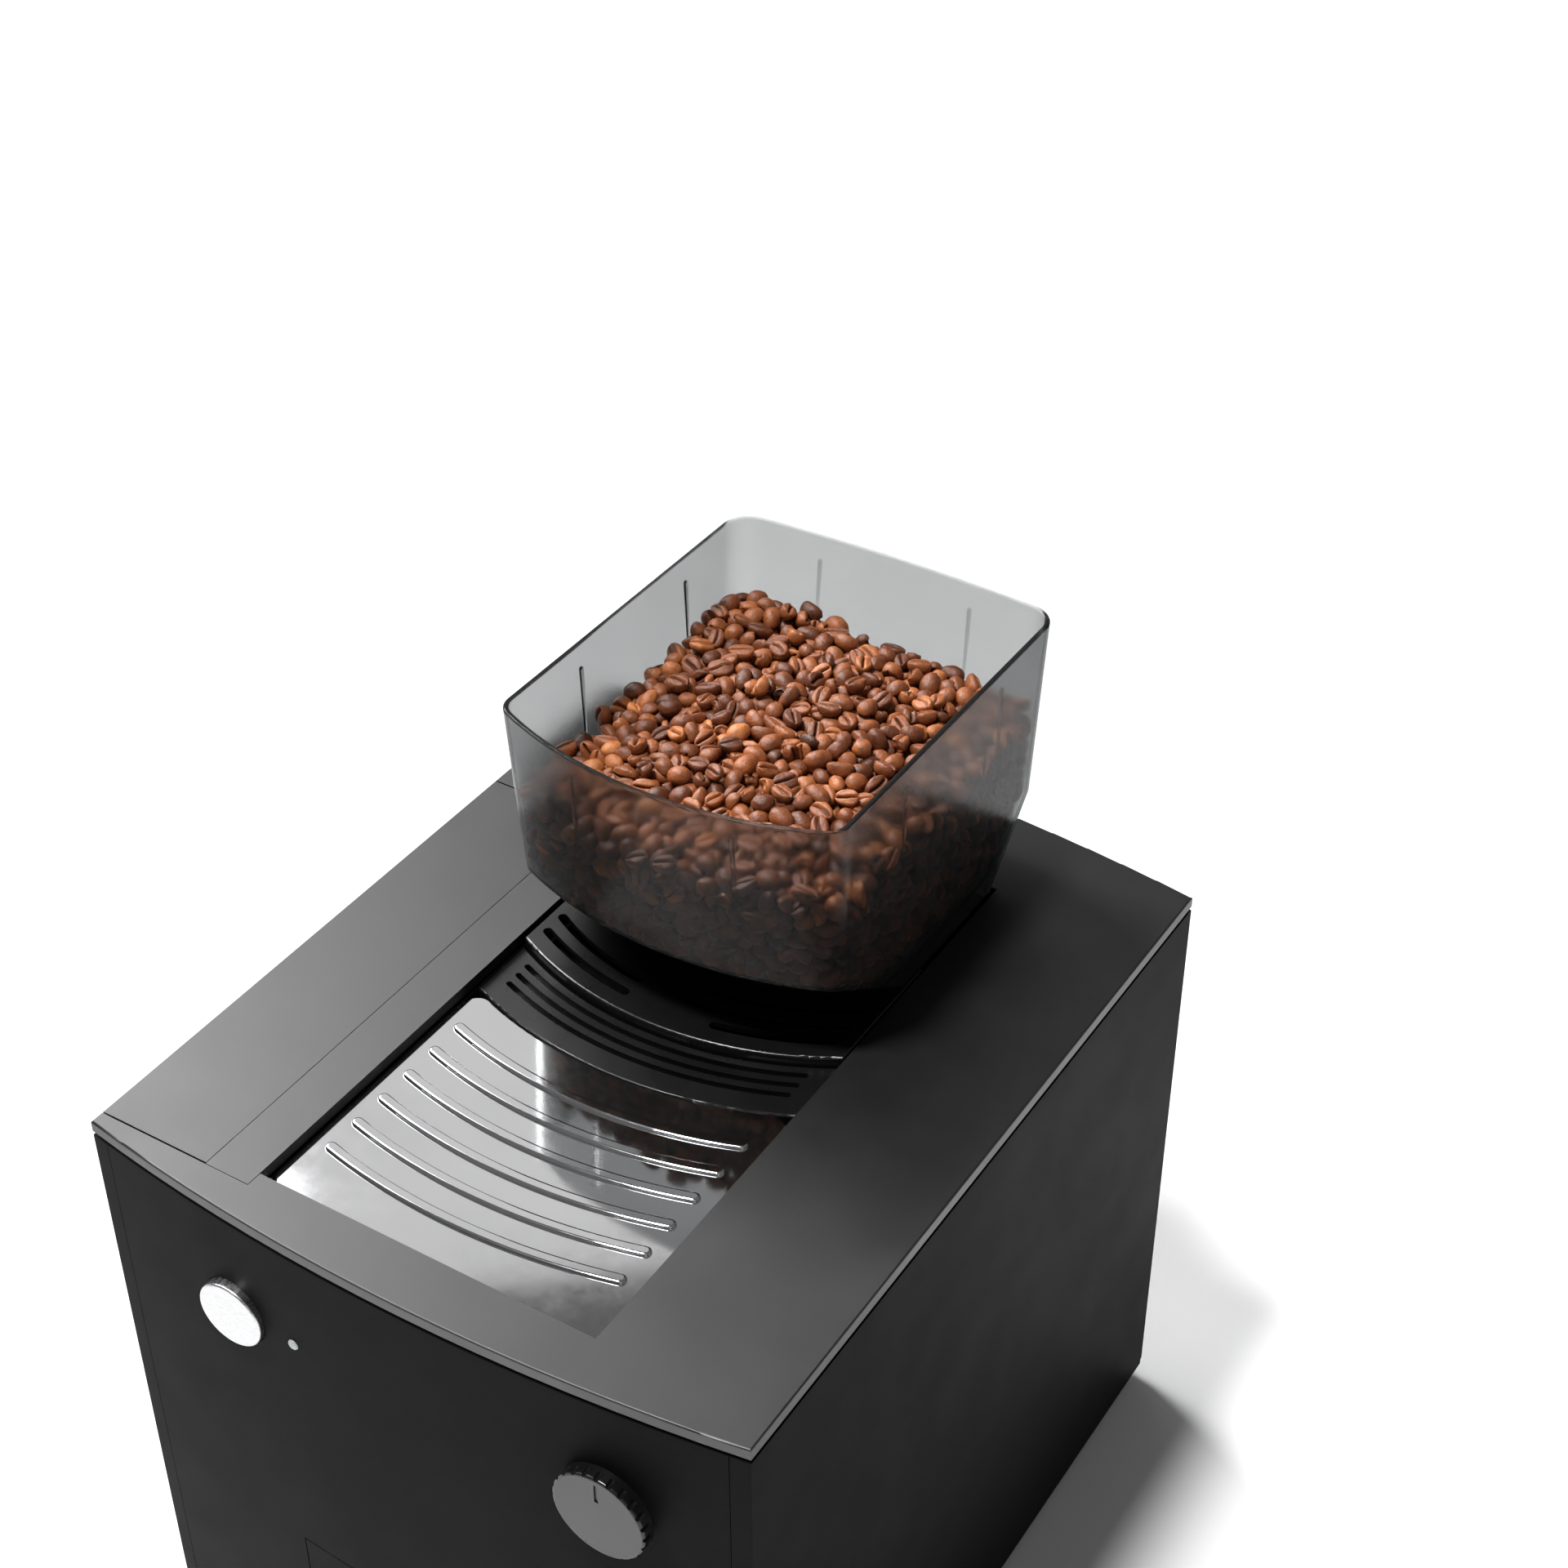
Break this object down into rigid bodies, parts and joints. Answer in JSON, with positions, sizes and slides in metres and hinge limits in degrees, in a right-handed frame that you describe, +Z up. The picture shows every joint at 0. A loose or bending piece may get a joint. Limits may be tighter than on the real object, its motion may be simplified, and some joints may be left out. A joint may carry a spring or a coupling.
{
  "type": "burr coffee grinder",
  "caption": "Counter-top burr coffee grinder with an open smoky bean hopper, vented top, polished cup plate, fineness wheel and grounds drawer.",
  "frame": {"origin": "middle of the footprint on the resting surface", "axes": "+Z up, front faces -Y, +X to the right seen from the front"},
  "size_m": [0.3, 0.3735, 0.4158],
  "materials": {
    "case_black": "fine-grained satin black",
    "cover_black": "fine-grained satin black",
    "vent_black": "satin black",
    "smoky_plastic": "smoky see-through",
    "roasted_beans": "roasted, faint oil sheen",
    "polished_steel": "mirror polished",
    "plain_steel": "turned and ground",
    "burr_steel": "hardened, ground",
    "cast_alloy": "die cast",
    "zinc_steel": "zinc plated",
    "soft_rubber": "matt",
    "white_nylon": "moulded",
    "grey_plastic": "moulded",
    "brass": "sintered",
    "copper_winding": "laminated with enamelled winding",
    "board_green": "solder mask with components",
    "lens_white": "clear lens",
    "switch_red": "gloss black"
  },
  "bodies": {
    "housing": {"base_pan": "case_black", "rubber_feet": "soft_rubber", "case_screws": "zinc_steel", "left_side_panel": "case_black", "right_side_panel": "case_black", "rear_panel": "case_black", "front_panel": "case_black", "top_cover": "cover_black", "left_strip": "cover_black", "rear_left_cover": "cover_black", "lid_rod": "plain_steel", "storage_bin": "grey_plastic", "recess_tray": "case_black", "vent_panel": "vent_black", "louvre_ring": "vent_black", "hopper_seal": "soft_rubber", "feed_funnel": "grey_plastic", "shaft_bearings": "brass", "chamber": "cast_alloy", "gear_axles": "plain_steel", "gearbox_case": "cast_alloy", "gearbox_lid": "zinc_steel", "motor_can": "zinc_steel", "motor_cap": "grey_plastic", "chassis": "zinc_steel", "vibration_mounts": "soft_rubber", "chute": "grey_plastic", "drawer_guide": "grey_plastic", "button_spring": "soft_rubber", "dial_encoder": "grey_plastic", "indicator_lens": "lens_white", "circuit_board": "board_green", "switch_body": "vent_black", "mains_inlet": "vent_black"},
    "hopper": {"hopper": "smoky_plastic", "bean_fill": "roasted_beans", "gate_guide": "vent_black", "hopper_screws": "zinc_steel"},
    "gate": {"gate_plate": "plain_steel"},
    "lid": {"left_lid": "cover_black"},
    "cup_plate": {"cup_plate": "polished_steel"},
    "burr_holder": {"ring_burr_holder": "cast_alloy", "ring_burr": "burr_steel"},
    "burr_rotor": {"cone_burr": "burr_steel", "burr_screw": "zinc_steel", "sweeper": "white_nylon", "burr_shaft": "plain_steel", "final_gear": "white_nylon"},
    "compound_gear": {"compound_gear": "white_nylon"},
    "motor_rotor": {"motor_rotor": "copper_winding", "motor_pinion": "brass"},
    "adjusting_ring": {"adjusting_ring": "white_nylon"},
    "adjuster_idler": {"adjuster_idler": "white_nylon"},
    "adjuster_wheel": {"adjuster_wheel": "grey_plastic"},
    "drawer": {"grounds_drawer": "grey_plastic", "drawer_front": "case_black", "drawer_grip": "polished_steel"},
    "start_button": {"start_button": "plain_steel"},
    "dose_dial": {"dose_dial": "vent_black"},
    "rocker_switch": {"rocker_switch": "switch_red"}
  },
  "joints": [
    {"name": "hopper_lift", "type": "slide", "parent": "housing", "child": "hopper", "axis": [0, 0, 1], "range_m": [0, 0.08]},
    {"name": "gate_slide", "type": "slide", "parent": "hopper", "child": "gate", "axis": [0, -1, 0], "range_m": [0, 0.0415]},
    {"name": "lid_hinge", "type": "hinge", "parent": "housing", "child": "lid", "pos_m": [-0.147, 0, 0.2975], "axis": [0, -1, 0], "range_deg": [0, 95]},
    {"name": "cup_plate_lift", "type": "slide", "parent": "housing", "child": "cup_plate", "axis": [0, 0, 1], "range_m": [0, 0.03]},
    {"name": "burr_spin", "type": "hinge", "parent": "housing", "child": "burr_rotor", "pos_m": [0, 0.095, 0.2], "axis": [0, 0, 1], "continuous": true},
    {"name": "compound_spin", "type": "hinge", "parent": "housing", "child": "compound_gear", "pos_m": [0.046, 0.095, 0.17], "axis": [0, 0, 1], "continuous": true},
    {"name": "motor_spin", "type": "hinge", "parent": "housing", "child": "motor_rotor", "pos_m": [0.086, 0.095, 0.17], "axis": [0, 0, 1], "continuous": true},
    {"name": "adjust_turn", "type": "hinge", "parent": "housing", "child": "adjusting_ring", "pos_m": [0, 0.095, 0.24], "axis": [0, 0, 1], "range_deg": [-60, 60]},
    {"name": "idler_turn", "type": "hinge", "parent": "housing", "child": "adjuster_idler", "pos_m": [-0.068, 0.095, 0.24], "axis": [0, 0, 1], "range_deg": [-196, 196]},
    {"name": "wheel_turn", "type": "hinge", "parent": "housing", "child": "adjuster_wheel", "pos_m": [-0.114, 0.095, 0.24], "axis": [0, 0, 1], "range_deg": [-105, 105]},
    {"name": "burr_gap", "type": "slide", "parent": "housing", "child": "burr_holder", "axis": [0, 0, 1], "range_m": [-0.00034, 0.00034]},
    {"name": "drawer_slide", "type": "slide", "parent": "housing", "child": "drawer", "axis": [0, -1, 0], "range_m": [0, 0.115]},
    {"name": "button_press", "type": "slide", "parent": "housing", "child": "start_button", "axis": [0, 1, 0], "range_m": [0, 0.003], "stiffness_N_per_m": 400, "springref_m": -0.001, "deforming": ["button_spring"]},
    {"name": "dial_turn", "type": "hinge", "parent": "housing", "child": "dose_dial", "pos_m": [0.095, -0.17, 0.245], "axis": [0, -1, 0], "range_deg": [-135, 135]},
    {"name": "switch_rock", "type": "hinge", "parent": "housing", "child": "rocker_switch", "pos_m": [-0.111, 0.17484, 0.0875], "axis": [1, 0, 0], "range_deg": [-14, 0]}
  ],
  "couplings": [
    {"joint": "compound_spin", "follows": "burr_spin", "ratio": -3.6},
    {"joint": "motor_spin", "follows": "burr_spin", "ratio": 20.4},
    {"joint": "idler_turn", "follows": "adjust_turn", "ratio": -3.25},
    {"joint": "wheel_turn", "follows": "adjust_turn", "ratio": 1.7333},
    {"joint": "burr_gap", "follows": "adjust_turn", "m_per_rad": 0.00031831}
  ]
}
